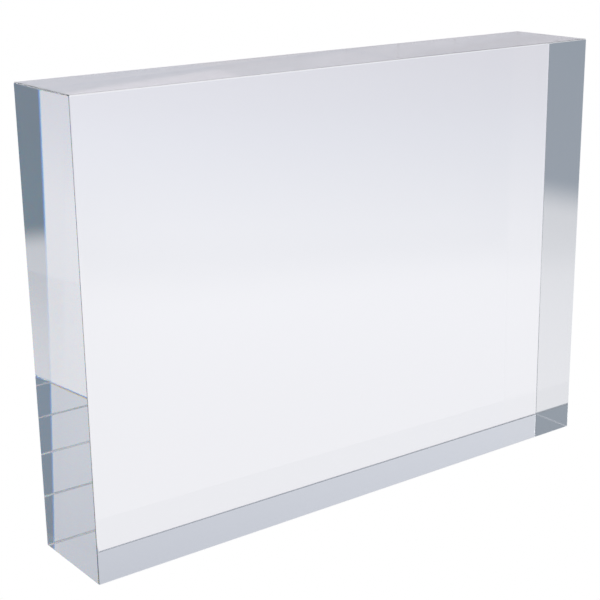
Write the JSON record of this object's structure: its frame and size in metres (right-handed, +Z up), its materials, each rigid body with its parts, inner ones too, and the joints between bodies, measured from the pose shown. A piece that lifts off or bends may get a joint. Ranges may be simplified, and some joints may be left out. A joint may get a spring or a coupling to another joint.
{
  "type": "acrylic block frame",
  "caption": "Free-standing solid block of clear acrylic with polished faces and finely rounded edges, backed by a clear film that holds a photo print.",
  "frame": {"origin": "middle of the footprint, on the table", "axes": "+X along the width, +Y from the front face to the back face, +Z up"},
  "size_m": [0.18, 0.03, 0.13],
  "materials": {
    "clear_acrylic": "polished clear cast acrylic",
    "clear_film": "clear double-sided mounting film, smooth"
  },
  "bodies": {
    "root": {"acrylic_block": "clear_acrylic", "mounting_film": "clear_film"}
  },
  "joints": []
}
